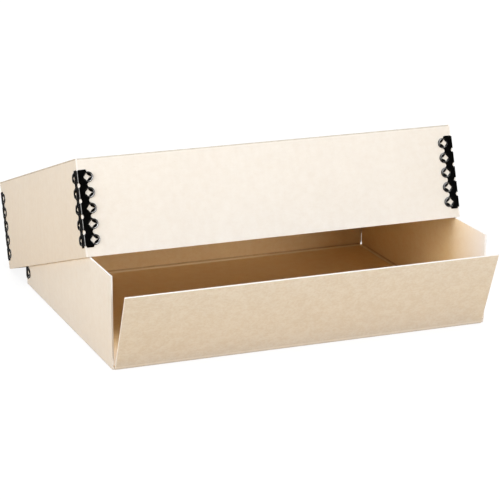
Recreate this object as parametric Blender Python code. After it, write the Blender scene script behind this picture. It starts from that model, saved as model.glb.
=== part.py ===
"""Archival box: a drop-front tray with a loose lid, folded from scored board and
held at its corners by perforated steel stays. Metres, +Z up."""

from math import asin, cos, pi, radians, sin

import bmesh
import bpy
from mathutils import Matrix, Vector

# Tray, outside sizes.
TRAY_WIDTH = 0.330
TRAY_DEPTH = 0.250
TRAY_HEIGHT = 0.078

# Board, and how it is folded.
BOARD_THICKNESS = 0.0015
FOLD_RADIUS = 0.0012
CORNER_CUTBACK = 0.0008
BEAD_WIDTH = 0.0024
BEAD_HEIGHT = 0.0007
TOUCH_GAP = 0.0003

# Drop front, hinged on its score.
FLAP_HEIGHT = 0.0735
FLAP_SIDE_CLEARANCE = 0.0011
FLAP_OPEN_ANGLE = radians(22.5)

# Lid, outside sizes and where it is propped.
LID_OVERHANG = 0.0030
LID_HEIGHT = 0.080
LID_SETBACK = 0.0546

# Corner stays of thin bent steel, pressed through the board.
STAY_LENGTH = 0.063
STAY_THICKNESS = 0.0004
STAY_BEND_RADIUS = 0.0006
STAY_NECK = 0.0077
STAY_FOOT_ON_LID = 0.0076
STAY_FOOT_REAR_LEFT = 0.0062
STAY_FOOT_REAR_RIGHT = 0.0115
ROSETTE_COUNT = 5
ROSETTE_PITCH = 0.0127
ROSETTE_RADIUS = 0.00435
ROSETTE_RIM_RADIUS = 0.0037
ROSETTE_MOUTH_RADIUS = 0.0032
ROSETTE_FLOOR_RADIUS = 0.0023
ROSETTE_HOLE_RADIUS = 0.0021
ROSETTE_OFFSET = 0.0090
ROSETTE_RISE = 0.0004
ROSETTE_STEP = 0.00008
ROSETTE_FLOOR_THICKNESS = 0.0002
NOTCH_RADIUS = 0.0014
CUT_OVERRUN = 0.0010

# How finely the curves are stepped.
FOLD_STEPS = 4
BEAD_STEPS = 4
PIVOT_STEPS = 8
ROSETTE_SIDES = 12
DISH_SIDES = 8
HOLE_SIDES = 4

LID_WIDTH = TRAY_WIDTH + 2 * LID_OVERHANG
LID_DEPTH = TRAY_DEPTH + 2 * LID_OVERHANG
HINGE_RADIUS = BOARD_THICKNESS / 2
FLAP_WIDTH = TRAY_WIDTH - 2 * (BOARD_THICKNESS + FLAP_SIDE_CLEARANCE)
STAY_STANDOFF = TOUCH_GAP + STAY_THICKNESS

# The lid leans back from the tops of the tray's side walls until its rear edge meets the table.
LID_TILT = asin(TRAY_HEIGHT / (LID_DEPTH - BOARD_THICKNESS))
LID_FRONT_EDGE = TRAY_HEIGHT + TOUCH_GAP + BOARD_THICKNESS * sin(LID_TILT)


def clear_scene():
    for old in list(bpy.data.objects):
        bpy.data.objects.remove(old, do_unlink=True)


def principled(name, colour, roughness, metallic):
    material = bpy.data.materials.new(name)
    material.use_nodes = True
    shader = material.node_tree.nodes["Principled BSDF"]
    shader.inputs["Base Color"].default_value = (*colour, 1.0)
    shader.inputs["Roughness"].default_value = roughness
    shader.inputs["Metallic"].default_value = metallic
    return material


def mesh_from(bm, name):
    bmesh.ops.recalc_face_normals(bm, faces=bm.faces)
    mesh = bpy.data.meshes.new(name)
    bm.to_mesh(mesh)
    bm.free()
    return mesh


def place(name, mesh, colour, roughness, metallic, location=(0, 0, 0), turn=(0, 0, 0), parent=None):
    part = bpy.data.objects.new(name, mesh)
    bpy.context.collection.objects.link(part)
    part.location = location
    part.rotation_euler = turn
    part.parent = parent
    part.data.materials.clear()
    part.data.materials.append(principled(name, colour, roughness, metallic))
    return part


def prism(outline, length):
    """A closed prism: an outline in Y and Z, run along X and centred on it."""
    bm = bmesh.new()
    ends = []
    for x in (-length / 2, length / 2):
        ends.append([bm.verts.new((x, y, z)) for y, z in outline])
    bm.faces.new(ends[0])
    bm.faces.new(list(reversed(ends[1])))
    count = len(outline)
    for i in range(count):
        j = (i + 1) % count
        bm.faces.new((ends[0][i], ends[1][i], ends[1][j], ends[0][j]))
    return bm


def arc(centre, radius, start, stop, steps):
    points = []
    for i in range(steps + 1):
        angle = start + (stop - start) * i / steps
        points.append((centre[0] + radius * cos(angle), centre[1] + radius * sin(angle)))
    return points


def wall_mesh(name, length, height, fold_on_top):
    """A wall with its outer face at y = 0 and its folded edge rounded on the outside."""
    outline = [(BOARD_THICKNESS, 0), (BOARD_THICKNESS, height), (0, height)]
    outline += arc((FOLD_RADIUS, FOLD_RADIUS), FOLD_RADIUS, pi, 1.5 * pi, FOLD_STEPS)
    if fold_on_top:
        outline = [(y, height - z) for y, z in outline]
    return mesh_from(prism(outline, length), name)


def bead_stations(low, high, bead_at_low, bead_at_high):
    stations = [low, high]
    for i in range(1, BEAD_STEPS + 1):
        if bead_at_low:
            stations.append(low + BEAD_WIDTH * i / BEAD_STEPS)
        if bead_at_high:
            stations.append(high - BEAD_WIDTH * i / BEAD_STEPS)
    return sorted(stations)


def beaded_panel_mesh(name, width, front, rear, bead_in_front):
    """A flat panel with the rounded bead that scoring raises just inside each fold."""
    half = width / 2
    columns = bead_stations(-half, half, True, True)
    rows = bead_stations(front, rear, bead_in_front, True)
    bm = bmesh.new()
    below, above = [], []
    for y in rows:
        below.append([])
        above.append([])
        for x in columns:
            inset = min(x + half, half - x, rear - y)
            if bead_in_front:
                inset = min(inset, y - front)
            share = min(inset / BEAD_WIDTH, 1)
            lift = BEAD_HEIGHT * sin(pi * share)
            below[-1].append(bm.verts.new((x, y, 0)))
            above[-1].append(bm.verts.new((x, y, BOARD_THICKNESS + lift)))
    last_row, last_column = len(rows) - 1, len(columns) - 1
    for j in range(last_row):
        for i in range(last_column):
            for sheet in (below, above):
                bm.faces.new((sheet[j][i], sheet[j][i + 1], sheet[j + 1][i + 1], sheet[j + 1][i]))
    for i in range(last_column):
        for j in (0, last_row):
            bm.faces.new((below[j][i], below[j][i + 1], above[j][i + 1], above[j][i]))
    for j in range(last_row):
        for i in (0, last_column):
            bm.faces.new((below[j][i], below[j + 1][i], above[j + 1][i], above[j][i]))
    return mesh_from(bm, name)


def flap_mesh(name):
    """The drop front, standing on its hinge axis, which runs along X through the origin."""
    top = FLAP_HEIGHT - HINGE_RADIUS
    outline = [(HINGE_RADIUS, top), (-HINGE_RADIUS, top)]
    outline += arc((0, 0), HINGE_RADIUS, pi, 2 * pi, PIVOT_STEPS)
    return mesh_from(prism(outline, FLAP_WIDTH), name)


def stay_spine():
    """The bent strip behind the rosettes, its ridge along Z, clear of a board corner at the origin."""
    ridge = STAY_STANDOFF
    bend = STAY_BEND_RADIUS - ridge
    reach = STAY_NECK - ridge
    outline = [(reach, -TOUCH_GAP), (reach, -ridge)]
    outline += arc((bend, bend), STAY_BEND_RADIUS, 1.5 * pi, pi, FOLD_STEPS)
    outline += [(-ridge, reach), (-TOUCH_GAP, reach), (-TOUCH_GAP, -TOUCH_GAP)]
    bm = bmesh.new()
    base = bm.faces.new([bm.verts.new((x, y, 0)) for x, y in outline])
    grown = bmesh.ops.extrude_face_region(bm, geom=[base])
    moved = [v for v in grown["geom"] if isinstance(v, bmesh.types.BMVert)]
    bmesh.ops.translate(bm, verts=moved, vec=(0, 0, STAY_LENGTH))
    return bm


def turned_rings(bm, levels, sides, frame, twist=0.0):
    """A closed solid of rings, each a (radius, height) on the frame's own Z axis."""
    rings = []
    for radius, height in levels:
        ring = []
        for i in range(sides):
            angle = twist + 2 * pi * i / sides
            ring.append(bm.verts.new(frame @ Vector((radius * cos(angle), radius * sin(angle), height))))
        rings.append(ring)
    bm.faces.new(rings[0])
    bm.faces.new(list(reversed(rings[-1])))
    for lower, upper in zip(rings, rings[1:]):
        for i in range(sides):
            j = (i + 1) % sides
            bm.faces.new((lower[i], upper[i], upper[j], lower[j]))


def rosette_frames():
    """The frame of each rosette: its Z axis out of the leg, starting on the board's face."""
    first = (STAY_LENGTH - (ROSETTE_COUNT - 1) * ROSETTE_PITCH) / 2
    along = ROSETTE_OFFSET - STAY_STANDOFF
    frames = []
    for i in range(ROSETTE_COUNT):
        height = first + i * ROSETTE_PITCH
        front_leg = Matrix.Translation((along, 0, height)) @ Matrix.Rotation(pi / 2, 4, "X")
        side_leg = Matrix.Translation((0, along, height)) @ Matrix.Rotation(-pi / 2, 4, "Y")
        frames += [front_leg, side_leg]
    return frames


def rosette_cups():
    face = STAY_STANDOFF
    levels = [(ROSETTE_RADIUS, TOUCH_GAP + ROSETTE_STEP), (ROSETTE_RADIUS, face + ROSETTE_STEP),
              (ROSETTE_RIM_RADIUS, face + ROSETTE_RISE)]
    bm = bmesh.new()
    for frame in rosette_frames():
        turned_rings(bm, levels, ROSETTE_SIDES, frame)
    return bm


def rosette_dishes():
    floor, rim = TOUCH_GAP + ROSETTE_FLOOR_THICKNESS, STAY_STANDOFF + ROSETTE_RISE
    flare = (ROSETTE_MOUTH_RADIUS - ROSETTE_FLOOR_RADIUS) / (rim - floor)
    levels = [(ROSETTE_FLOOR_RADIUS, floor),
              (ROSETTE_MOUTH_RADIUS + flare * CUT_OVERRUN, rim + CUT_OVERRUN)]
    bm = bmesh.new()
    for frame in rosette_frames():
        turned_rings(bm, levels, DISH_SIDES, frame, pi / DISH_SIDES)
    return bm


def rosette_holes():
    levels = [(ROSETTE_HOLE_RADIUS, TOUCH_GAP - CUT_OVERRUN),
              (ROSETTE_HOLE_RADIUS, STAY_STANDOFF + CUT_OVERRUN)]
    bm = bmesh.new()
    for frame in rosette_frames():
        turned_rings(bm, levels, HOLE_SIDES, frame)
    return bm


def ridge_notches():
    """Diamonds cut through the bend midway between rosettes, and part of one at the foot."""
    first = (STAY_LENGTH - (ROSETTE_COUNT - 1) * ROSETTE_PITCH) / 2
    heights = [-NOTCH_RADIUS / 4] + [first + (i + 1 / 2) * ROSETTE_PITCH for i in range(ROSETTE_COUNT - 1)]
    levels = [(NOTCH_RADIUS, -CUT_OVERRUN), (NOTCH_RADIUS, STAY_STANDOFF + CUT_OVERRUN)]
    bm = bmesh.new()
    for height in heights:
        frame = (Matrix.Translation((0, 0, height)) @ Matrix.Rotation(1.25 * pi, 4, "Z")
                 @ Matrix.Rotation(pi / 2, 4, "Y"))
        turned_rings(bm, levels, HOLE_SIDES, frame)
    return bm


def stay_mesh():
    """One stay: the spine with its cups joined on, then the dishes, holes and notches cut."""
    spine = bpy.data.objects.new("stay_spine", mesh_from(stay_spine(), "stay_spine"))
    bpy.context.collection.objects.link(spine)
    helpers = [spine]
    steps = (("UNION", rosette_cups), ("DIFFERENCE", rosette_dishes),
             ("DIFFERENCE", rosette_holes), ("DIFFERENCE", ridge_notches))
    for operation, shape in steps:
        helper = bpy.data.objects.new(shape.__name__, mesh_from(shape(), shape.__name__))
        bpy.context.collection.objects.link(helper)
        helpers.append(helper)
        cut = spine.modifiers.new(shape.__name__, "BOOLEAN")
        cut.operation = operation
        cut.object = helper
        cut.solver = "EXACT"
    bpy.context.view_layer.update()
    finished = spine.evaluated_get(bpy.context.evaluated_depsgraph_get())
    mesh = bpy.data.meshes.new_from_object(finished)
    for helper in helpers:
        bpy.data.objects.remove(helper, do_unlink=True)
    return mesh


BOARD_CREAM = (0.84, 0.76, 0.63)
STEEL_BLACK = (0.012, 0.012, 0.012)
BOARD_LOOK = {"colour": BOARD_CREAM, "roughness": 0.85, "metallic": 0.0}
STAY_LOOK = {"colour": STEEL_BLACK, "roughness": 0.22, "metallic": 0.0}


def build_tray():
    half_width, half_depth = TRAY_WIDTH / 2, TRAY_DEPTH / 2
    seam = BOARD_THICKNESS + TOUCH_GAP
    floor = beaded_panel_mesh("floor_panel", TRAY_WIDTH - 2 * seam, -half_depth + seam,
                              half_depth - seam, False)
    place("floor_panel", floor, **BOARD_LOOK)

    rear_length = TRAY_WIDTH - 2 * (BOARD_THICKNESS + CORNER_CUTBACK)
    place("rear_wall", wall_mesh("rear_wall", rear_length, TRAY_HEIGHT, False),
          **BOARD_LOOK, location=(0, half_depth, 0), turn=(0, 0, pi))

    side_rear = half_depth - BOARD_THICKNESS - CORNER_CUTBACK
    side_length = side_rear + half_depth
    side_middle = (side_rear - half_depth) / 2
    for name, side in (("left_wall", -1), ("right_wall", 1)):
        place(name, wall_mesh(name, side_length, TRAY_HEIGHT, False), **BOARD_LOOK,
              location=(side * half_width, side_middle, 0), turn=(0, 0, side * pi / 2))


def build_drop_front():
    place("drop_front", flap_mesh("drop_front"), **BOARD_LOOK,
          location=(0, -TRAY_DEPTH / 2 + HINGE_RADIUS, HINGE_RADIUS), turn=(FLAP_OPEN_ANGLE, 0, 0))


def build_lid():
    """The lid in its own frame, its front edge along X at the frame's origin, then leant back."""
    propped = bpy.data.objects.new("lid_frame", None)
    bpy.context.collection.objects.link(propped)
    propped.location = (0, -TRAY_DEPTH / 2 + LID_SETBACK, LID_FRONT_EDGE)
    propped.rotation_euler = (-LID_TILT, 0, 0)

    half_width, half_depth = LID_WIDTH / 2, LID_DEPTH / 2
    seam = BOARD_THICKNESS + TOUCH_GAP
    top = beaded_panel_mesh("lid_top", LID_WIDTH - 2 * seam, -half_depth + seam, half_depth - seam, True)
    place("lid_top", top, **BOARD_LOOK, location=(0, half_depth, LID_HEIGHT),
          turn=(0, pi, 0), parent=propped)

    cut = 2 * (BOARD_THICKNESS + CORNER_CUTBACK)
    long_mesh = wall_mesh("lid_long_wall", LID_WIDTH - cut, LID_HEIGHT, True)
    short_mesh = wall_mesh("lid_short_wall", LID_DEPTH - cut, LID_HEIGHT, True)
    place("lid_front_wall", long_mesh, **BOARD_LOOK, parent=propped)
    place("lid_rear_wall", long_mesh.copy(), **BOARD_LOOK, location=(0, LID_DEPTH, 0),
          turn=(0, 0, pi), parent=propped)
    for name, side, mesh in (("lid_left_wall", -1, short_mesh), ("lid_right_wall", 1, short_mesh.copy())):
        place(name, mesh, **BOARD_LOOK, location=(side * half_width, half_depth, 0),
              turn=(0, 0, side * pi / 2), parent=propped)
    return propped


def build_stays(propped):
    mesh = stay_mesh()
    half_tray, half_lid = TRAY_WIDTH / 2, LID_WIDTH / 2
    rear = TRAY_DEPTH / 2
    corners = (
        ("stay_rear_left", (-half_tray, rear, STAY_FOOT_REAR_LEFT), -pi / 2, None),
        ("stay_rear_right", (half_tray, rear, STAY_FOOT_REAR_RIGHT), pi, None),
        ("lid_stay_front_left", (-half_lid, 0, STAY_FOOT_ON_LID), 0, propped),
        ("lid_stay_front_right", (half_lid, 0, STAY_FOOT_ON_LID), pi / 2, propped),
        ("lid_stay_rear_left", (-half_lid, LID_DEPTH, STAY_FOOT_ON_LID), -pi / 2, propped),
        ("lid_stay_rear_right", (half_lid, LID_DEPTH, STAY_FOOT_ON_LID), pi, propped),
    )
    for name, corner, turn, parent in corners:
        place(name, mesh.copy(), **STAY_LOOK, location=corner, turn=(0, 0, turn), parent=parent)


clear_scene()
build_tray()
build_drop_front()
build_stays(build_lid())
bpy.context.view_layer.update()
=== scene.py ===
import math

import bmesh
import bpy
from mathutils import Matrix, Vector


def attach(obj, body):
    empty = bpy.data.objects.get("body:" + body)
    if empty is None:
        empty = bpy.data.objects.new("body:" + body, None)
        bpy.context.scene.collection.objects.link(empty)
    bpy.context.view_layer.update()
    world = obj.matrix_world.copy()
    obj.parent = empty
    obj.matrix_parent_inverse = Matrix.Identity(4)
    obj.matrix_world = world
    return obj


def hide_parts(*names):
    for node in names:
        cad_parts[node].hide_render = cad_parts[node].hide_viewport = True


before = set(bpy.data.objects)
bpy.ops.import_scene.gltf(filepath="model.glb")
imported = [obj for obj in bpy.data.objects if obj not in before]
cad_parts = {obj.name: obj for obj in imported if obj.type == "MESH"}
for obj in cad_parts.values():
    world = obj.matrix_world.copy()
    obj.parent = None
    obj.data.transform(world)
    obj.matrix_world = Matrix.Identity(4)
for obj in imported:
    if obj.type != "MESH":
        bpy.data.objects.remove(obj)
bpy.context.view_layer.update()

print("frame loaded,", len(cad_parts), "nodes")


def toMesh(bm, name):
    bmesh.ops.recalc_face_normals(bm, faces=bm.faces[:])
    mesh = bpy.data.meshes.new(name)
    bm.to_mesh(mesh)
    bm.free()
    return mesh


def addPiece(name, mesh, placing, materials, body, node):
    mesh.transform(placing)
    mesh.shade_smooth()
    mesh.set_sharp_from_angle(angle=math.radians(35))
    for material in materials:
        mesh.materials.append(material)
    piece = bpy.data.objects.new(name, mesh)
    bpy.context.scene.collection.objects.link(piece)
    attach(piece, body)
    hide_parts(node)


def turnZ(angle):
    return Matrix.Rotation(angle, 4, "Z")


def shift(x, y, z):
    return Matrix.Translation((x, y, z))


def everything(bm):
    return bm.verts[:] + bm.edges[:] + bm.faces[:]


class Graph:
    def __init__(self, material):
        self.tree = material.node_tree
        self.shader = self.tree.nodes["Principled BSDF"]
        self.place = self.add("ShaderNodeTexCoord").outputs["Object"]

    def add(self, kind, **settings):
        node = self.tree.nodes.new(kind)
        for key, value in settings.items():
            setattr(node, key, value)
        return node

    def link(self, source, target):
        self.tree.links.new(source, target)

    # noise between 0 and 1, stretched along an axis where its scale is smaller
    def noise(self, scale, detail=3.0, roughness=0.5, offset=(0, 0, 0)):
        mapping = self.add("ShaderNodeMapping")
        mapping.inputs["Location"].default_value = offset
        mapping.inputs["Scale"].default_value = scale
        self.link(self.place, mapping.inputs["Vector"])
        noise = self.add("ShaderNodeTexNoise")
        noise.inputs["Scale"].default_value = 1.0
        noise.inputs["Detail"].default_value = detail
        noise.inputs["Roughness"].default_value = roughness
        self.link(mapping.outputs["Vector"], noise.inputs["Vector"])
        return noise.outputs["Fac"]

    def remap(self, source, low, high, toLow, toHigh):
        node = self.add("ShaderNodeMapRange")
        for key, value in (("From Min", low), ("From Max", high), ("To Min", toLow), ("To Max", toHigh)):
            node.inputs[key].default_value = value
        self.link(source, node.inputs["Value"])
        return node.outputs["Result"]

    # noise lies mostly between 0.3 and 0.7, which this widens to the range asked for
    def spread(self, source, low, high):
        return self.remap(source, 0.3, 0.7, low, high)

    def combine(self, first, second, operation="ADD"):
        node = self.add("ShaderNodeMath", operation=operation)
        self.link(first, node.inputs[0])
        self.link(second, node.inputs[1])
        return node.outputs["Value"]

    def mix(self, share, first, second):
        node = self.add("ShaderNodeMix", data_type="RGBA")
        self.link(share, node.inputs["Factor"])
        for socket, value in ((node.inputs["A"], first), (node.inputs["B"], second)):
            if isinstance(value, tuple):
                socket.default_value = (*value, 1.0)
            else:
                self.link(value, socket)
        return node.outputs["Result"]

    def bump(self, height, strength, distance):
        node = self.add("ShaderNodeBump")
        node.inputs["Strength"].default_value = strength
        node.inputs["Distance"].default_value = distance
        self.link(height, node.inputs["Height"])
        self.link(node.outputs["Normal"], self.shader.inputs["Normal"])


def newGraph(name, roughness, specular, ior=1.5):
    material = bpy.data.materials.new(name)
    material.use_nodes = True
    graph = Graph(material)
    graph.shader.inputs["Roughness"].default_value = roughness
    graph.shader.inputs["Specular IOR Level"].default_value = specular
    graph.shader.inputs["IOR"].default_value = ior
    return material, graph


# uncoated board: soft clouding, pressed fibres and a few flecks; the attribute "fold" marks painted
# shade (above 0) and painted highlight (below 0) along folds, creases, the bead and score lines
def boardPaper(name, pale, deep, paintedShading, paintedHighlight, mottled=1.0, fibrous=1.0, paintedLight=None):
    material, graph = newGraph(name, 0.86, 0.25)
    cloud = graph.spread(graph.noise((11, 11, 11), 3), 0.0, paper["cloud"])
    mottle = graph.spread(graph.noise((150, 150, 190), 2, 0.5, (4, 2, 6)),
                          paper["mottle"] * (1 - mottled), paper["mottle"] * (1 + mottled))
    grain = graph.spread(graph.noise((210, 210, 16), 3, 0.55, (8, 5, 2)), 0.0, paper["grain"])
    fibre = graph.spread(graph.noise((420, 620, 620), 5, 0.62),
                         paper["fibre"] * (1 - fibrous), paper["fibre"] * (1 + fibrous))
    tone = graph.mix(graph.combine(graph.combine(cloud, mottle), graph.combine(grain, fibre)), pale, deep)
    if paintedLight:  # painted light: the inside is painted paler near the open front, where light falls on it
        apart = graph.add("ShaderNodeSeparateXYZ")
        graph.link(graph.place, apart.inputs["Vector"])
        lightFalloff = graph.remap(apart.outputs["Y"], *paper["paintedLightReach"], paper["paintedLightShare"], 0.0)
        tone = graph.mix(lightFalloff, tone, paintedLight)
    flecks = graph.remap(graph.noise((700, 1500, 1500), 2, 0.5, (3, 7, 1)), 0.70, 0.78, 0.0, 0.35)
    tone = graph.mix(flecks, tone, paper["fleck"])
    fold = graph.add("ShaderNodeAttribute", attribute_name="fold").outputs["Fac"]
    patchy = graph.spread(graph.noise((130, 130, 130), 4, 0.6, (6, 3, 9)), 0.4, 0.8)
    # painted shade along folds and creases
    tone = graph.mix(graph.combine(fold, patchy, "MULTIPLY"), tone, paintedShading)
    # painted highlight along the bead and score lines
    tone = graph.mix(graph.remap(fold, 0.0, -1.0, 0.0, 1.0), tone, paintedHighlight)
    graph.link(tone, graph.shader.inputs["Base Color"])
    felt = graph.noise((260, 900, 900), 5, 0.65, (1, 2, 3))
    graph.bump(graph.combine(felt, graph.noise((90, 90, 90), 2, 0.5)), 0.24, 0.0002)
    rough = graph.spread(graph.noise((35, 35, 35), 3), 0.80, 0.92)
    graph.link(rough, graph.shader.inputs["Roughness"])
    return material


# the cut edge shows the board's white layers
def cutBoard(name, pale, deep):
    material, graph = newGraph(name, 0.92, 0.15)
    layer = graph.add("ShaderNodeAttribute", attribute_name="layer").outputs["Fac"]
    ply = graph.add("ShaderNodeMath", operation="SINE")
    waves = graph.add("ShaderNodeMath", operation="MULTIPLY")
    graph.link(layer, waves.inputs[0])
    waves.inputs[1].default_value = paper["plyWaves"]
    graph.link(waves.outputs["Value"], ply.inputs[0])
    lines = graph.remap(ply.outputs["Value"], -1, 1, 0.0, 0.35)
    ragged = graph.remap(graph.noise((900, 900, 900), 4, 0.6), 0.35, 0.7, 0.0, 0.6)
    both = graph.combine(lines, ragged)
    graph.link(graph.mix(both, pale, deep), graph.shader.inputs["Base Color"])
    graph.bump(both, 0.25, 0.0001)
    return material


# black enamel over steel, with highlights painted on as bare steel along the rims and the ridge where its
# attribute marks them
def blackEnamel(name):
    material, graph = newGraph(name, 0.22, 0.003, 1.45)
    tone = graph.mix(graph.remap(graph.noise((300, 300, 300), 3), 0.35, 0.7, 0.0, 1.0),
                     steel["enamelDeep"], steel["enamelPale"])
    paintedGlint = graph.add("ShaderNodeAttribute", attribute_name="paintedGlint").outputs["Fac"]
    patchy = graph.remap(graph.noise((900, 900, 420), 3, 0.6, (2, 9, 4)), 0.36, 0.54, 0.45, 1.0)
    # painted highlight: bare steel where the attribute marks it
    glintSteel = graph.combine(paintedGlint, patchy, "MULTIPLY")
    graph.link(graph.mix(glintSteel, tone, steel["glintSteel"]), graph.shader.inputs["Base Color"])
    graph.link(glintSteel, graph.shader.inputs["Metallic"])
    rough = graph.spread(graph.noise((240, 240, 240), 4, 0.6, (5, 1, 2)), 0.14, 0.32)
    graph.link(rough, graph.shader.inputs["Roughness"])
    graph.bump(graph.noise((1400, 1400, 1400), 3), 0.05, 0.0001)
    return material


paper = {
    "outerPale": (0.900, 0.874, 0.820), "outerDeep": (0.828, 0.781, 0.709),
    # the drop front's tones are a warmer, darker copy of the outer board's: painted shade for its face that
    # leans down
    "flapPale": (0.893, 0.868, 0.790), "flapDeep": (0.823, 0.775, 0.679),
    # the inner tones are a browner copy of the same board: painted shade for the dim inside
    "innerPale": (0.968, 0.740, 0.430), "innerDeep": (0.914, 0.652, 0.334),
    "fleck": (0.66, 0.54, 0.40),
    # painted shade tones for folds, creases and the bead
    "outerPaintedShade": (0.46, 0.40, 0.31), "innerPaintedShade": (0.46, 0.28, 0.12),
    # painted light on the inside near the open front
    "innerPaintedLight": (0.885, 0.835, 0.800),
    # painted highlight tones for the bead and score lines
    "outerPaintedHighlight": (0.99, 0.955, 0.875), "innerPaintedHighlight": (0.99, 0.82, 0.54),
    "corePale": (0.950, 0.942, 0.930), "coreDeep": (0.890, 0.870, 0.830), "plyWaves": 31.0,
    "paintedLightReach": (-0.125, -0.055), "paintedLightShare": 0.85,
    "cloud": 0.25, "mottle": 0.15, "grain": 0.2, "fibre": 0.125,
}
steel = {
    "enamelDeep": (0.0010, 0.0010, 0.0011), "enamelPale": (0.0030, 0.0029, 0.0027),
    "glintSteel": (0.58, 0.58, 0.58),
}
outerTones = (paper["outerPale"], paper["outerDeep"], paper["outerPaintedShade"], paper["outerPaintedHighlight"])
innerTones = (paper["innerPale"], paper["innerDeep"], paper["innerPaintedShade"], paper["innerPaintedHighlight"])
outerFace = boardPaper("board_outer_face", *outerTones)
flapTones = (paper["flapPale"], paper["flapDeep"], paper["outerPaintedShade"], paper["outerPaintedHighlight"])
flapFace = boardPaper("board_drop_front_face", *flapTones, 2.4, 5.2)
innerFace = boardPaper("board_inner_face", *innerTones, 1.8, 2.6, paper["innerPaintedLight"])
cutEdge = cutBoard("board_cut_edge", paper["corePale"], paper["coreDeep"])
enamel = blackEnamel("black_enamel")
boardFinish = (outerFace, innerFace, cutEdge)
flapFinish = (flapFace, innerFace, cutEdge)
print("materials made")


board = {
    "thickness": 0.0015, "foldRadius": 0.0013, "foldSegments": 6, "foldGap": 0.00006, "panelLap": 0.00001,
    "cutRadius": 0.00013, "cutSegments": 2, "crushRadius": 0.0008, "crushSegments": 4,
    "creaseFrom": 0.0024, "creaseFloor": (0.0029, 0.0036), "creaseTo": 0.0041,
    "creaseDepth": 0.0005, "lidCreaseDepth": 0.0003, "creasePaintedShade": 0.7,
    "scoreLine": (0.0015, 0.0020, 0.0026, 0.0033), "sharpAngle": 1.0,
}
tray = {"width": 0.330, "depth": 0.250, "height": 0.078, "endGap": 0.00005, "relief": 0.0012,
        "reliefHeight": 0.0065, "frontRun": 0.02}
flap = {"width": 0.3248, "height": 0.0735, "lean": 22.5, "foldShare": 0.47, "paintedShadeShare": 0.3}
lid = {"width": 0.336, "depth": 0.256, "height": 0.080, "setback": 0.0546, "restGap": 0.0003,
       "endGap": -0.00035, "endTrim": 0.00004}
close = 1e-6  # two heights nearer than this are one

lid["tilt"] = math.asin(tray["height"] / (lid["depth"] - board["thickness"]))
lidPlace = (shift(0, -tray["depth"] / 2 + lid["setback"],
                  tray["height"] + lid["restGap"] + board["thickness"] * math.sin(lid["tilt"]))
            @ Matrix.Rotation(-lid["tilt"], 4, "X"))


def markLayers(bm, axis):
    layer = bm.verts.layers.float.new("layer")
    for vert in bm.verts:
        vert[layer] = vert.co[axis] / board["thickness"]


# painted shade on the outside of a fold, and somewhat less of it on the crease line inside
def paintFoldShade(bm, height, creaseDepth):
    fold = bm.verts.layers.float.new("fold")
    for vert in bm.verts:
        aside = max(abs(vert.co.z - height), vert.co.y)
        if vert.co.y > close and aside < board["foldRadius"] - close:
            vert[fold] = 1.0
        if abs(vert.co.y - board["thickness"] + creaseDepth) < close:
            vert[fold] = board["creasePaintedShade"]


def sharpEdges(bm, isFold):
    edges = [e for e in bm.edges if len(e.link_faces) == 2 and e.calc_face_angle() > board["sharpAngle"]]
    return [e for e in edges if not isFold(e)]


def softenEdges(bm, edges, radius, segments):
    bmesh.ops.bevel(bm, geom=edges, offset=radius, offset_type="OFFSET", affect="EDGES",
                    segments=segments, profile=0.5, material=-1)


# a wall stands on or hangs from its fold; outer face at y = 0, inner face at y = thickness
def wallMesh(name, length, height, foldOnTop, relieved=(), crushed=()):
    t = board["thickness"]
    bm = bmesh.new()
    bmesh.ops.create_cube(bm, size=1.0)
    bmesh.ops.scale(bm, vec=(length, t, height), verts=bm.verts[:])
    bmesh.ops.translate(bm, vec=(0, t / 2, height / 2), verts=bm.verts[:])
    if relieved:  # the die cuts the wall's end back towards the fold
        bmesh.ops.bisect_plane(bm, geom=everything(bm),
                               plane_co=(0, 0, tray["reliefHeight"]), plane_no=(0, 0, 1))
        for side in relieved:
            foot = [v for v in bm.verts if v.co.x * side > length / 2 - close and v.co.z < close]
            bmesh.ops.translate(bm, vec=(-side * tray["relief"], 0, 0), verts=foot)
    # the crease sinks a shallow line into the inner face beside the bead
    for rise in (board["creaseFrom"], *board["creaseFloor"], board["creaseTo"]):
        level = height - rise if foldOnTop else rise
        bmesh.ops.bisect_plane(bm, geom=everything(bm),
                               plane_co=(0, 0, level), plane_no=(0, 0, 1))
    creaseDepth = board["lidCreaseDepth"] if foldOnTop else board["creaseDepth"]
    for rise in board["creaseFloor"]:
        level = height - rise if foldOnTop else rise
        line = [v for v in bm.verts if abs(v.co.z - level) < close and v.co.y > t - close]
        bmesh.ops.translate(bm, vec=(0, -creaseDepth, 0), verts=line)
    for side in crushed:  # the stay presses the outer corner of the cut end round
        corner = [e for e in bm.edges
                  if all(v.co.x * side > length / 2 - close and v.co.y < close for v in e.verts)]
        softenEdges(bm, corner, board["crushRadius"], board["crushSegments"])
    foldHeight = height if foldOnTop else 0

    def onFold(edge):
        return all(abs(v.co.z - foldHeight) < close for v in edge.verts)

    fold = [e for e in bm.edges if onFold(e) and all(abs(v.co.y) < close for v in e.verts)]
    softenEdges(bm, fold, board["foldRadius"], board["foldSegments"])
    softenEdges(bm, sharpEdges(bm, onFold), board["cutRadius"], board["cutSegments"])
    for face in bm.faces:
        normal = face.normal
        farEnd = abs(face.calc_center_median().z - (height - foldHeight)) < board["cutRadius"] * 1.5
        if abs(normal.x) > 0.3 or (farEnd and abs(normal.z) > 0.3):
            face.material_index = 2
        elif normal.y > 0.4:
            face.material_index = 1
    markLayers(bm, 1)
    paintFoldShade(bm, foldHeight, creaseDepth)
    return toMesh(bm, name)


# each step in from the fold: width, rise, and how much painted shade (above 0) or painted highlight (below
# 0) it gets
scoreBead = [
    (0.00025, -0.00010, 0.7), (0.00020, 0.00050, 0.5), (0.00025, 0.00048, 0), (0.00030, 0.00034, -1),
    (0.00035, 0.00008, -1), (0.00030, -0.00025, -1), (0.00022, -0.00045, -1), (0.00014, -0.00042, 0),
    (0.00016, -0.00014, 0.6), (0.00030, -0.00004, 0),
]


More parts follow.
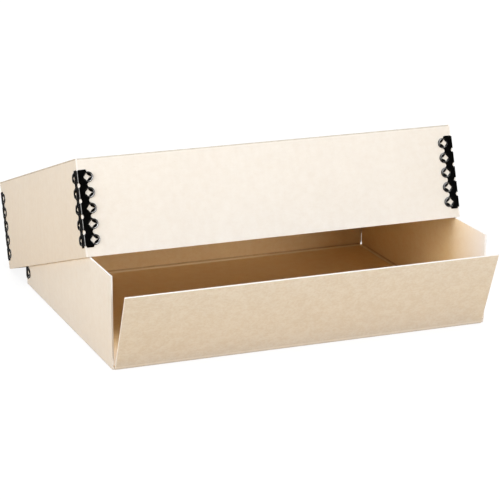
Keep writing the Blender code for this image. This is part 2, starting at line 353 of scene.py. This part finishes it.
# a flat panel inside its folds, with the bead that scoring raises on the inside
def panelMesh(name, width, depth, openFront):
    t = board["thickness"]
    run = tray["frontRun"] if openFront else 0  # the open front is cut off where it has no bead
    bm = bmesh.new()
    bmesh.ops.create_cube(bm, size=1.0)
    bmesh.ops.scale(bm, vec=(width, depth + run, t), verts=bm.verts[:])
    bmesh.ops.translate(bm, vec=(0, -run / 2, t / 2), verts=bm.verts[:])
    top = [f for f in bm.faces if f.normal.z > 0.9]
    fold = bm.verts.layers.float.new("fold")
    # painted shade and painted highlight along the bead
    for step, rise, shadingMark in scoreBead:
        bmesh.ops.inset_region(bm, faces=top, thickness=step, depth=0, use_boundary=True,
                               use_even_offset=True)
        bmesh.ops.translate(bm, vec=(0, 0, rise), verts=top[0].verts[:])
        for vert in top[0].verts:
            vert[fold] = shadingMark
    for face in bm.faces:
        face.material_index = 1 if face.normal.z > 0.3 else 0
    if openFront:
        cut = bmesh.ops.bisect_plane(bm, geom=everything(bm),
                                     plane_co=(0, board["foldGap"] - depth / 2, 0), plane_no=(0, -1, 0),
                                     clear_outer=True)
        rim = [e for e in cut["geom_cut"] if isinstance(e, bmesh.types.BMEdge)]
        for face in bmesh.ops.contextual_create(bm, geom=rim)["faces"]:
            face.material_index = 2
    markLayers(bm, 2)
    return toMesh(bm, name)


def flapMesh(name, width, height):
    t = board["thickness"]
    bm = bmesh.new()
    bmesh.ops.create_cube(bm, size=1.0)
    bmesh.ops.scale(bm, vec=(width, t, height), verts=bm.verts[:])
    bmesh.ops.translate(bm, vec=(0, 0, height / 2 - t / 2), verts=bm.verts[:])

    def onFold(edge):
        return all(abs(v.co.z + t / 2) < close for v in edge.verts)

    def nearFold(edge):
        return max(v.co.z for v in edge.verts) < t

    longEdges = [e for e in bm.edges if onFold(e) and abs(e.verts[0].co.x - e.verts[1].co.x) > t]
    softenEdges(bm, longEdges, t * flap["foldShare"], board["foldSegments"])
    softenEdges(bm, sharpEdges(bm, nearFold), board["cutRadius"], board["cutSegments"])
    for rise in board["scoreLine"]:
        bmesh.ops.bisect_plane(bm, geom=everything(bm),
                               plane_co=(0, 0, rise - t / 2), plane_no=(0, 0, 1))
    for face in bm.faces:
        normal = face.normal
        if abs(normal.x) > 0.3 or (normal.z > 0.3 and face.calc_center_median().z > t):
            face.material_index = 2
        elif normal.y > 0.7:
            face.material_index = 1
    markLayers(bm, 1)
    fold = bm.verts.layers.float.new("fold")
    highlightFrom, highlightTo = board["scoreLine"][1:3]
    # painted shade along the bottom fold, and a painted highlight band along the score above it
    for vert in bm.verts:
        rise = vert.co.z + t / 2
        vert[fold] = 1.0 if rise < t * flap["paintedShadeShare"] else 0.0
        if vert.co.y < 0 and highlightFrom - close < rise < highlightTo + close:
            vert[fold] = -1.0  # painted highlight on the outer face along the score
    return toMesh(bm, name)


def buildTray():
    w, d, h = tray["width"] / 2, tray["depth"] / 2, tray["height"]
    t, gap = board["thickness"], tray["endGap"]
    seat = t - board["panelLap"]
    addPiece("tray_floor", panelMesh("tray_floor", 2 * (w - seat), 2 * (d - seat), True),
             Matrix.Identity(4), boardFinish, "tray", "floor_panel")
    addPiece("tray_rear_wall", wallMesh("tray_rear_wall", 2 * (w - t - gap), h, False, relieved=(-1, 1)),
             shift(0, d, 0) @ turnZ(math.pi), boardFinish, "tray", "rear_wall")
    rearEnd = d - t - gap
    for name, node, side in (("tray_left_wall", "left_wall", -1),
                             ("tray_right_wall", "right_wall", 1)):
        addPiece(name, wallMesh(name, rearEnd + d, h, False, relieved=(-side,)),
                 shift(side * w, (rearEnd - d) / 2, 0) @ turnZ(side * math.pi / 2),
                 boardFinish, "tray", node)


def buildFlap():
    hinge = board["thickness"] / 2
    lean = Matrix.Rotation(math.radians(flap["lean"]), 4, "X")
    addPiece("drop_front_panel", flapMesh("drop_front_panel", flap["width"], flap["height"]),
             shift(0, -tray["depth"] / 2 + hinge, hinge) @ lean,
             flapFinish, "drop_front", "drop_front")


def buildLid():
    w, d, h = lid["width"] / 2, lid["depth"], lid["height"]
    t, gap = board["thickness"], lid["endGap"]
    seat = t - board["panelLap"]
    addPiece("lid_top_panel", panelMesh("lid_top_panel", 2 * (w - seat), d - 2 * seat, False),
             lidPlace @ shift(0, d / 2, h) @ Matrix.Rotation(math.pi, 4, "Y"),
             boardFinish, "lid", "lid_top")
    # the side walls reach past the front and rear walls, so their cut ends show at the corners
    longWall, shortWall = 2 * (w - t - gap), d - lid["endTrim"]
    addPiece("lid_front_panel", wallMesh("lid_front_panel", longWall, h, True),
             lidPlace, boardFinish, "lid", "lid_front_wall")
    addPiece("lid_rear_panel", wallMesh("lid_rear_panel", longWall, h, True),
             lidPlace @ shift(0, d, 0) @ turnZ(math.pi), boardFinish, "lid", "lid_rear_wall")
    for name, node, side in (("lid_left_panel", "lid_left_wall", -1),
                             ("lid_right_panel", "lid_right_wall", 1)):
        addPiece(name, wallMesh(name, shortWall, h, True, crushed=(-1, 1)),
                 lidPlace @ shift(side * w, d / 2, 0) @ turnZ(side * math.pi / 2),
                 boardFinish, "lid", node)


buildTray()
buildFlap()
buildLid()
print("board panels made")


stay = {
    "length": 0.063, "neck": 0.0077, "face": 0.00050, "back": 0.00005, "edgeSoftness": 0.00008,
    "bendRadius": 0.0012, "bendSteps": 6, "trim": 0.004, "chamfer": 0.0006, "endFillet": 0.0008,
    "rosettes": 5, "pitch": 0.0127, "rosetteOut": 0.0090, "lobeRadius": 0.00435,
    "cupRadius": 0.00415, "cupSegments": 48,
    "notchRadius": 0.0020, "notchSunk": 0.00015, "notchSegments": 24,
    "footNotch": 0.0003, "topNotch": 0.0012,
    "foot": {"rearLeft": 0.0062, "rearRight": 0.0115, "lid": 0.0076},
}
outlineSteps = {"notch": 8, "topNotch": 5, "endFillet": 4, "lobe": 18, "fillet": 10}
# where highlights are painted on as bare steel: turns and spans in degrees, the rest as shares
glint = {
    "leastRim": 0.22, "turn": -32, "lightFalloff": 1.2, "otherLeg": 0.75, "otherTurn": 45, "otherFade": 1.5,
    "ridgeSpan": 18, "ridgeLine": 111, "ridgeDepth": 0.9,
}
# each ring of the cup: radius, height over the board, how far it lies towards the ridge, and its share of
# painted highlight
cupProfile = [
    (0.00415, 0.00050, 0.0, 0.0), (0.00407, 0.00065, 0.00001, 0.0), (0.00400, 0.00080, 0.00004, 0.3),
    (0.003925, 0.00091, 0.000085, 0.9), (0.003845, 0.00097, 0.000145, 1.0),
    (0.00376, 0.00095, 0.00021, 1.0), (0.00366, 0.00086, 0.00030, 0.9),
    (0.00354, 0.00074, 0.00041, 0.4), (0.00340, 0.00063, 0.00054, 0.0),
]
# the opening: reach of its points from its centre, how hollow its sides are, and the lip that slopes to it
star = {
    "centre": 0.00122, "towardsRidge": 0.0030, "away": 0.0041, "upDown": 0.0034,
    "hollowRidge": 0.95, "hollowAway": 0.68, "lip": 0.00057, "lipShare": 0.55, "edgeDrop": 0.00012,
    "edgeCentreShare": 0.75,
}


def arcFrom(bm, vert, centre, degrees, steps):
    turned = bmesh.ops.spin(bm, geom=[vert], cent=(*centre, 0), axis=(0, 0, 1),
                            angle=math.radians(degrees), steps=steps, use_duplicate=False)
    return [v for v in turned["geom_last"] if isinstance(v, bmesh.types.BMVert)][0]


def lineTo(bm, vert, x, y):
    end = bm.verts.new((x, y, 0))
    bm.edges.new((vert, end))
    return end


def rosetteHeights():
    first = (stay["length"] - (stay["rosettes"] - 1) * stay["pitch"]) / 2
    return [first + i * stay["pitch"] for i in range(stay["rosettes"])]


# the scalloped outline of one leg, lying flat with the ridge along y
def legOutline(bm):
    out, lobe, neck, length = stay["rosetteOut"], stay["lobeRadius"], stay["neck"], stay["length"]
    heights = rosetteHeights()
    half = stay["pitch"] / 2
    fillet = (half ** 2 + (out - neck) ** 2 - lobe ** 2) / (2 * (lobe + out - neck))  # touches both lobes
    lean = math.degrees(math.asin((neck + fillet - out) / (lobe + fillet)))
    small, chamfer, trim = stay["endFillet"], stay["chamfer"], stay["trim"]
    drop = math.sqrt((lobe + small) ** 2 - (neck + small - out) ** 2)
    tip = math.degrees(math.atan2(drop, neck + small - out))  # where the end fillet meets the lobe
    radius, sunk = stay["notchRadius"], stay["notchSunk"]
    start = bm.verts.new((-trim, trim, 0))  # this side is trimmed at the bend
    vert = lineTo(bm, start, -sunk, radius - stay["footNotch"])
    reach = math.degrees(math.asin(stay["footNotch"] / radius))
    vert = arcFrom(bm, vert, (-sunk, -stay["footNotch"]), reach - 90, outlineSteps["notch"])
    vert = lineTo(bm, vert, neck - chamfer, 0)
    vert = lineTo(bm, vert, neck, chamfer)
    vert = lineTo(bm, vert, neck, heights[0] - drop)
    vert = arcFrom(bm, vert, (neck + small, heights[0] - drop), tip - 180, outlineSteps["endFillet"])
    for i, height in enumerate(heights):
        low = -tip if i == 0 else -(90 - lean)
        high = tip if i == len(heights) - 1 else 90 - lean
        vert = arcFrom(bm, vert, (out, height), high - low, outlineSteps["lobe"])
        if i < len(heights) - 1:
            vert = arcFrom(bm, vert, (neck + fillet, height + half), 2 * lean - 180, outlineSteps["fillet"])
    vert = arcFrom(bm, vert, (neck + small, heights[-1] + drop), tip - 180, outlineSteps["endFillet"])
    vert = lineTo(bm, vert, neck, length - chamfer)
    vert = lineTo(bm, vert, neck - chamfer, length)
    reach = math.acos(stay["topNotch"] / radius)
    vert = lineTo(bm, vert, -sunk + radius * math.sin(reach), length)
    topTurn = -math.degrees(reach)
    vert = arcFrom(bm, vert, (-sunk, length + stay["topNotch"]), topTurn, outlineSteps["topNotch"])
    vert = lineTo(bm, vert, -trim, length - trim)
    bm.edges.new((vert, start))
    bmesh.ops.remove_doubles(bm, verts=bm.verts[:], dist=close / 10)


# where the opening's edge lies at an angle; the sides curve in between its four points
def starPoint(angle):
    outwards = math.cos(angle) > 0
    side = star["away"] if outwards else star["towardsRidge"]
    power = star["hollowAway"] if outwards else star["hollowRidge"]
    x, y = abs(math.cos(angle)) / side, abs(math.sin(angle)) / star["upDown"]
    radius = 1 / (x ** power + y ** power) ** (1 / power)
    return radius * math.cos(angle) - star["centre"], radius * math.sin(angle)


# one pressed cup with its four-pointed opening, centred on the origin
def addCup(bm, centre):
    paintedGlint, otherPaintedGlint = bm.verts.layers.float["paintedGlint"], bm.verts.layers.float["otherPaintedGlint"]
    verts = [bm.verts.new((radius, 0, height)) for radius, height, inwards, paintedShading in cupProfile]
    edges = [bm.edges.new(pair) for pair in zip(verts, verts[1:])]
    before = set(bm.verts) - set(verts)
    bmesh.ops.spin(bm, geom=verts + edges, cent=(0, 0, 0), axis=(0, 0, 1), angle=2 * math.pi,
                   steps=stay["cupSegments"], use_merge=True)
    cup = [v for v in bm.verts if v not in before]
    mouth = set()
    for vert in cup:
        radius, height, inwards, paintedShading = min(cupProfile, key=lambda ring: abs(ring[0] - vert.co.xy.length))
        if radius == cupProfile[-1][0]:
            mouth.add(vert)
        angle = math.atan2(vert.co.y, vert.co.x)
        # painted highlight, strongest on one side of each rim where the light glints
        facing = math.cos(angle - math.radians(glint["turn"]))
        vert[paintedGlint] = paintedShading * max(glint["leastRim"], facing) ** glint["lightFalloff"]
        facing = abs(math.cos(angle - math.radians(glint["otherTurn"])))
        vert[otherPaintedGlint] = glint["otherLeg"] * paintedShading * facing ** glint["otherFade"]
        vert.co.x -= inwards
    rim = [e for e in bm.edges if e.verts[0] in mouth and e.verts[1] in mouth]
    # two steps in from the cup's mouth: the lip, then the opening's edge
    for middle, share, drop in ((cupProfile[-1][2], star["lipShare"], 0.0),
                                (star["centre"] * star["edgeCentreShare"], 1.0, star["edgeDrop"])):
        grown = bmesh.ops.extrude_edge_only(bm, edges=rim)["geom"]
        rim = [e for e in grown if isinstance(e, bmesh.types.BMEdge)]
        ring = [v for v in grown if isinstance(v, bmesh.types.BMVert)]
        for vert in ring:
            x, y = starPoint(math.atan2(vert.co.y, vert.co.x + middle))
            vert.co.x += (x - vert.co.x) * share
            vert.co.y += (y - vert.co.y) * share
            vert.co.z = star["lip"] - drop
        cup += ring
    bmesh.ops.translate(bm, vec=centre, verts=cup)


def circleAt(bm, centre, radius, segments):
    ring = bmesh.ops.create_circle(bm, cap_ends=False, radius=radius, segments=segments)["verts"]
    bmesh.ops.translate(bm, vec=centre, verts=ring)


def stayMesh():
    bm = bmesh.new()
    bm.verts.layers.float.new("paintedGlint")
    bm.verts.layers.float.new("otherPaintedGlint")
    legOutline(bm)
    heights = rosetteHeights()
    for height in heights:
        circleAt(bm, (stay["rosetteOut"], height, 0), stay["cupRadius"], stay["cupSegments"])
    notches = [height + stay["pitch"] / 2 for height in heights[:-1]]
    for height in notches:
        circleAt(bm, (-stay["notchSunk"], height, 0), stay["notchRadius"], stay["notchSegments"])
    bmesh.ops.triangle_fill(bm, use_beauty=True, use_dissolve=False, edges=bm.edges[:])
    bmesh.ops.translate(bm, vec=(0, 0, stay["face"]), verts=bm.verts[:])
    for height in heights:
        addCup(bm, (stay["rosetteOut"], height, 0))
    bmesh.ops.remove_doubles(bm, verts=bm.verts[:], dist=2 * close)
    # the edge rolls over a little, then drops to the board
    bmesh.ops.recalc_face_normals(bm, faces=bm.faces[:])
    bmesh.ops.inset_region(bm, faces=bm.faces[:], use_boundary=True, use_even_offset=True,
                           thickness=stay["edgeSoftness"], depth=0)
    edgeVerts = [v for v in bm.verts if v.is_boundary]
    bmesh.ops.translate(bm, vec=(0, 0, -stay["edgeSoftness"]), verts=edgeVerts)
    grown = bmesh.ops.extrude_edge_only(bm, edges=[e for e in bm.edges if e.is_boundary])["geom"]
    for vert in grown:
        if isinstance(vert, bmesh.types.BMVert):
            vert.co.z = stay["back"]
    base = [e for e in grown if isinstance(e, bmesh.types.BMEdge) and e.is_boundary]
    bmesh.ops.triangle_fill(bm, use_beauty=True, use_dissolve=False, edges=base)
    # trim at the bend, roll half of it, and mirror the other leg
    bendAt = stay["bendRadius"] - stay["face"]
    cut = bmesh.ops.bisect_plane(bm, geom=everything(bm),
                                 plane_co=(bendAt, 0, 0), plane_no=(-1, 0, 0), clear_outer=True)
    bmesh.ops.rotate(bm, cent=(0, 0, 0), matrix=Matrix.Rotation(math.pi / 2, 3, "X"), verts=bm.verts[:])
    rim = [g for g in cut["geom_cut"] if g.is_valid]
    bmesh.ops.spin(bm, geom=rim, cent=(bendAt, bendAt, 0), axis=(0, 0, 1), angle=-math.pi / 4,
                   steps=stay["bendSteps"])
    bmesh.ops.rotate(bm, cent=(0, 0, 0), matrix=Matrix.Rotation(math.pi / 4, 3, "Z"), verts=bm.verts[:])
    bmesh.ops.mirror(bm, geom=everything(bm), matrix=Matrix.Identity(4),
                     merge_dist=2 * close, axis="X")
    bmesh.ops.rotate(bm, cent=(0, 0, 0), matrix=Matrix.Rotation(-math.pi / 4, 3, "Z"), verts=bm.verts[:])
    bmesh.ops.remove_doubles(bm, verts=bm.verts[:], dist=2 * close)
    paintedGlint, otherPaintedGlint = bm.verts.layers.float["paintedGlint"], bm.verts.layers.float["otherPaintedGlint"]
    for vert in bm.verts:
        x, y = vert.co.x - bendAt, vert.co.y - bendAt
        if y > x:  # the other leg
            vert[paintedGlint] = vert[otherPaintedGlint]
        # painted highlight: a bare line along the bend, placed where a lamp's glint falls
        if x < 0 and y < 0 and math.hypot(x, y) > stay["bendRadius"] * glint["ridgeDepth"]:
            aside = abs(math.degrees(math.atan2(y, x)) + glint["ridgeLine"])
            vert[paintedGlint] = max(0.0, 1 - aside / glint["ridgeSpan"])
    bm.verts.layers.float.remove(otherPaintedGlint)
    print("stay:", len(bm.faces), "faces,", sum(1 for e in bm.edges if not e.is_manifold), "open edges")
    return toMesh(bm, "stay")


def buildStays():
    mesh = stayMesh()
    w, d = tray["width"] / 2, tray["depth"] / 2
    lw, ld = lid["width"] / 2, lid["depth"]
    foot, quarter = stay["foot"], math.pi / 2
    places = (
        ("tray_stay_rear_left", "stay_rear_left", "tray",
         shift(-w, d, foot["rearLeft"]) @ turnZ(-quarter)),
        ("tray_stay_rear_right", "stay_rear_right", "tray",
         shift(w, d, foot["rearRight"]) @ turnZ(math.pi)),
        ("lid_corner_front_left", "lid_stay_front_left", "lid", lidPlace @ shift(-lw, 0, foot["lid"])),
        ("lid_corner_front_right", "lid_stay_front_right", "lid",
         lidPlace @ shift(lw, 0, foot["lid"]) @ turnZ(quarter)),
        ("lid_corner_rear_left", "lid_stay_rear_left", "lid",
         lidPlace @ shift(-lw, ld, foot["lid"]) @ turnZ(-quarter)),
        ("lid_corner_rear_right", "lid_stay_rear_right", "lid",
         lidPlace @ shift(lw, ld, foot["lid"]) @ turnZ(math.pi)),
    )
    for name, node, body, placing in places:
        addPiece(name, mesh.copy(), placing, (enamel,), body, node)


buildStays()
print("corner stays made")


view = {"place": (-0.64173, -1.63902, 0.56407), "down": 16.348, "turn": -21.420, "lens": 152.40,
        "sensor": 36, "reach": 50}
camera = bpy.data.objects.new("camera", bpy.data.cameras.new("camera"))
bpy.context.scene.collection.objects.link(camera)
camera.location = view["place"]
camera.rotation_euler = (math.radians(90 - view["down"]), 0, math.radians(view["turn"]))
camera.data.lens = view["lens"]
camera.data.sensor_width = view["sensor"]
camera.data.clip_end = view["reach"]
bpy.context.scene.camera = camera


studio = {"sky": 0.27, "floorBounce": (0.45, 0.250, 0.028), "floorShade": 0.16, "floorLight": 1.08,
          "floorWhite": 1.06, "floorSize": 4.4, "floorDrop": 0.0002, "aimHeight": 0.08}
# softboxes: bearing from the front towards the right, height angle, distance, width, height, power, colour
softboxes = {
    "softbox_front": (21.5, 9, 2.2, 0.8, 0.75, 21.5, (0.96, 0.985, 1.03)),
    "softbox_left": (-80, 12, 2.2, 1.3, 1.0, 25.6, (0.985, 1.0, 1.02)),
    "softbox_top": (12, 79, 2.4, 1.6, 1.6, 36.5, (1, 1, 1)),
    "softbox_rear": (165, 14, 2.4, 1.5, 1.0, 20, (1, 1, 1)),
}


# 1 for what the camera sees, straight or in a gloss, and 0 for light that falls on the box
def seenDirectly(tree):
    path = tree.nodes.new("ShaderNodeLightPath")
    total = path.outputs["Is Camera Ray"]
    for name in ("Is Glossy Ray", "Is Transmission Ray"):
        add = tree.nodes.new("ShaderNodeMath")
        add.operation = "MAXIMUM"
        tree.links.new(total, add.inputs[0])
        tree.links.new(path.outputs[name], add.inputs[1])
        total = add.outputs["Value"]
    return total


def buildFloor():
    bm = bmesh.new()
    bmesh.ops.create_grid(bm, x_segments=1, y_segments=1, size=studio["floorSize"] / 2)
    bmesh.ops.translate(bm, vec=(0, 0, -studio["floorDrop"]), verts=bm.verts[:])
    mesh = bpy.data.meshes.new("floor")
    bm.to_mesh(mesh)
    bm.free()
    floor = bpy.data.objects.new("floor", mesh)
    bpy.context.scene.collection.objects.link(floor)
    material = bpy.data.materials.new("studio_floor")
    material.use_nodes = True
    tree = material.node_tree
    tree.nodes.clear()
    matte = tree.nodes.new("ShaderNodeBsdfDiffuse")
    shade = tree.nodes.new("ShaderNodeMix")
    shade.data_type = "RGBA"
    shade.inputs["A"].default_value = (*studio["floorBounce"], 1)
    shade.inputs["B"].default_value = (*[studio["floorShade"]] * 3, 1)
    seen = seenDirectly(tree)
    tree.links.new(seen, shade.inputs["Factor"])
    tree.links.new(shade.outputs["Result"], matte.inputs["Color"])
    glow = tree.nodes.new("ShaderNodeEmission")
    # what white lacks over the lit matte floor
    white = studio["floorWhite"] - studio["floorLight"] * studio["floorShade"]
    glow.inputs["Color"].default_value = (white, white, white, 1)
    tree.links.new(seen, glow.inputs["Strength"])
    both = tree.nodes.new("ShaderNodeAddShader")
    tree.links.new(matte.outputs[0], both.inputs[0])
    tree.links.new(glow.outputs[0], both.inputs[1])
    output = tree.nodes.new("ShaderNodeOutputMaterial")
    tree.links.new(both.outputs[0], output.inputs["Surface"])
    mesh.materials.append(material)


def buildSky():
    world = bpy.data.worlds.new("studio")
    world.use_nodes = True
    bpy.context.scene.world = world
    tree = world.node_tree
    background = tree.nodes["Background"]
    background.inputs["Color"].default_value = (1, 1, 1, 1)
    strength = tree.nodes.new("ShaderNodeMapRange")
    strength.inputs["To Min"].default_value = studio["sky"]
    strength.inputs["To Max"].default_value = 1.0
    tree.links.new(seenDirectly(tree), strength.inputs["Value"])
    tree.links.new(strength.outputs["Result"], background.inputs["Strength"])


def buildSoftboxes():
    for name, (bearing, rise, distance, width, height, power, colour) in softboxes.items():
        around, up = math.radians(bearing), math.radians(rise)
        flat = math.cos(up)
        towards = Vector((math.sin(around) * flat, -math.cos(around) * flat, math.sin(up)))
        lamp = bpy.data.lights.new(name, "AREA")
        lamp.shape = "RECTANGLE"
        lamp.size, lamp.size_y, lamp.energy, lamp.color = width, height, power, colour
        holder = bpy.data.objects.new(name, lamp)
        bpy.context.scene.collection.objects.link(holder)
        holder.location = towards * distance + Vector((0, 0, studio["aimHeight"]))
        holder.rotation_euler = (-towards).to_track_quat("-Z", "Y").to_euler()
        holder.visible_camera = False


buildFloor()
buildSky()
buildSoftboxes()
bpy.context.scene.view_settings.view_transform = "Standard"
print("floor, light and camera set")
